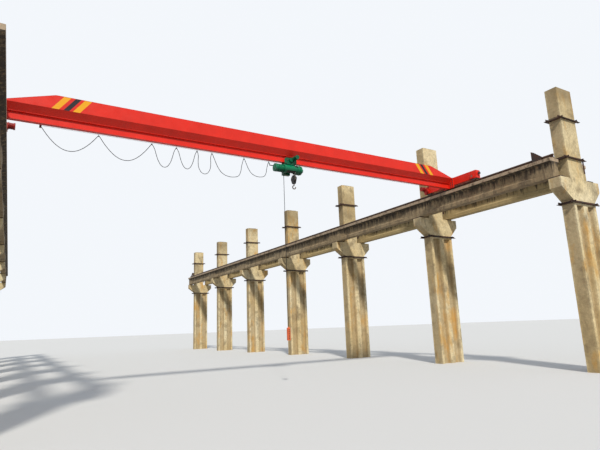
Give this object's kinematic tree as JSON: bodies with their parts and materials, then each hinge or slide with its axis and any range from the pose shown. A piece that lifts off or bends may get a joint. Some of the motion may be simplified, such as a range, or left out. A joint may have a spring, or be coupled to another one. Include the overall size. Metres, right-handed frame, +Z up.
{
  "type": "overhead bridge crane",
  "caption": "Single girder overhead travelling crane with an underhung wire rope hoist, on precast concrete runway beams and corbelled columns",
  "frame": {"origin": "centre of the runway's footprint on the floor, midway between the two rails and the outer columns", "axes": "+X along the girder to the right as seen from the near end, +Y along the runway away from the near end, +Z up"},
  "size_m": [18.9, 36.55, 8.99],
  "materials": {
    "concrete_column": "weathered precast concrete, ochre and grey, stained",
    "concrete_beam": "dark weathered precast concrete with streaks",
    "dark_steel": "rusty dark steel",
    "rail_steel": "rusty rail with a worn bright head",
    "crane_red": "glossy orange-red enamel with yellow and black end stripes",
    "hoist_green": "green enamel",
    "black_paint": "black paint",
    "buffer_rubber": "black rubber",
    "rope_steel": "greased steel",
    "cable_black": "black sheathed cable",
    "pendant_plastic": "orange-red moulded control",
    "bare_steel": "dull bare steel"
  },
  "bodies": {
    "runway": {"columns_right": "concrete_column", "columns_left": "concrete_column", "beams_right": "concrete_beam", "beams_left": "concrete_beam", "rail_right": "rail_steel", "rail_left": "rail_steel", "bands_right": "dark_steel", "bands_left": "dark_steel", "bearing_plates": "dark_steel"},
    "bridge": {"girder_box": "crane_red", "girder_beam": "crane_red", "joint_plates": "crane_red", "end_carriage_right": "crane_red", "end_carriage_left": "crane_red", "buffers": "buffer_rubber", "drive_right": "crane_red", "drive_left": "crane_red", "festoon_wire": "bare_steel", "festoon_cable": "cable_black"},
    "trolley": {"trolley_frame": "hoist_green", "trolley_wheels": "black_paint", "trolley_drive": "hoist_green", "hoist_casing": "hoist_green", "hoist_drum": "rope_steel", "hoist_motor": "hoist_green", "hoist_gearbox": "hoist_green", "control_box": "hoist_green", "pendant_cable": "cable_black", "pendant": "pendant_plastic", "hoist_rope": "rope_steel"},
    "hook_block": {"hook_block": "black_paint", "hook_sheave": "rope_steel"},
    "hook": {"hook": "bare_steel"},
    "wheel_right_near": {"wheel_right_near": "bare_steel"},
    "wheel_right_far": {"wheel_right_far": "bare_steel"},
    "wheel_left_near": {"wheel_left_near": "bare_steel"},
    "wheel_left_far": {"wheel_left_far": "bare_steel"},
    "hanger_1": {"hanger_1": "black_paint"},
    "hanger_2": {"hanger_2": "black_paint"},
    "hanger_3": {"hanger_3": "black_paint"},
    "hanger_4": {"hanger_4": "black_paint"},
    "hanger_5": {"hanger_5": "black_paint"},
    "hanger_6": {"hanger_6": "black_paint"},
    "hanger_7": {"hanger_7": "black_paint"}
  },
  "joints": [
    {"name": "bridge_travel", "type": "slide", "parent": "runway", "child": "bridge", "axis": [0, 1, 0], "range_m": [-2.09, 29.73]},
    {"name": "trolley_travel", "type": "slide", "parent": "bridge", "child": "trolley", "axis": [1, 0, 0], "range_m": [-5, 5.2], "deforming": ["festoon_cable"]},
    {"name": "hook_lift", "type": "slide", "parent": "trolley", "child": "hook_block", "axis": [0, 0, 1], "range_m": [-5.4, 0], "deforming": ["hoist_rope"]},
    {"name": "hook_swivel", "type": "hinge", "parent": "hook_block", "child": "hook", "pos_m": [0.43, -13.82, 5.98], "axis": [0, 0, 1], "continuous": true},
    {"name": "wheel_right_near_spin", "type": "hinge", "parent": "bridge", "child": "wheel_right_near", "pos_m": [7.5, -14.94, 6.8153], "axis": [-1, 0, 0], "continuous": true},
    {"name": "wheel_right_far_spin", "type": "hinge", "parent": "bridge", "child": "wheel_right_far", "pos_m": [7.5, -12.7, 6.8153], "axis": [-1, 0, 0], "continuous": true},
    {"name": "wheel_left_near_spin", "type": "hinge", "parent": "bridge", "child": "wheel_left_near", "pos_m": [-7.5, -14.94, 6.8153], "axis": [-1, 0, 0], "continuous": true},
    {"name": "wheel_left_far_spin", "type": "hinge", "parent": "bridge", "child": "wheel_left_far", "pos_m": [-7.5, -12.7, 6.8153], "axis": [-1, 0, 0], "continuous": true},
    {"name": "hanger_1_slide", "type": "slide", "parent": "bridge", "child": "hanger_1", "axis": [1, 0, 0], "range_m": [-1.067, 1.1096]},
    {"name": "hanger_2_slide", "type": "slide", "parent": "hanger_1", "child": "hanger_2", "axis": [1, 0, 0], "range_m": [-1.083, 1.1263]},
    {"name": "hanger_3_slide", "type": "slide", "parent": "hanger_2", "child": "hanger_3", "axis": [1, 0, 0], "range_m": [-0.542, 0.5636]},
    {"name": "hanger_4_slide", "type": "slide", "parent": "hanger_3", "child": "hanger_4", "axis": [1, 0, 0], "range_m": [-0.4785, 0.4976]},
    {"name": "hanger_5_slide", "type": "slide", "parent": "hanger_4", "child": "hanger_5", "axis": [1, 0, 0], "range_m": [-0.359, 0.3733]},
    {"name": "hanger_6_slide", "type": "slide", "parent": "hanger_5", "child": "hanger_6", "axis": [1, 0, 0], "range_m": [-0.8125, 0.845]},
    {"name": "hanger_7_slide", "type": "slide", "parent": "hanger_6", "child": "hanger_7", "axis": [1, 0, 0], "range_m": [-0.665, 0.6916]}
  ],
  "couplings": [
    {"joint": "wheel_right_near_spin", "follows": "bridge_travel", "rad_per_m": 7.4074},
    {"joint": "wheel_right_far_spin", "follows": "bridge_travel", "rad_per_m": 7.4074},
    {"joint": "wheel_left_near_spin", "follows": "bridge_travel", "rad_per_m": 7.4074},
    {"joint": "wheel_left_far_spin", "follows": "bridge_travel", "rad_per_m": 7.4074},
    {"joint": "hanger_1_slide", "follows": "trolley_travel", "ratio": 0.2132},
    {"joint": "hanger_2_slide", "follows": "trolley_travel", "ratio": 0.2164},
    {"joint": "hanger_3_slide", "follows": "trolley_travel", "ratio": 0.1082},
    {"joint": "hanger_4_slide", "follows": "trolley_travel", "ratio": 0.0955},
    {"joint": "hanger_5_slide", "follows": "trolley_travel", "ratio": 0.0716},
    {"joint": "hanger_6_slide", "follows": "trolley_travel", "ratio": 0.1623},
    {"joint": "hanger_7_slide", "follows": "trolley_travel", "ratio": 0.1328}
  ]
}
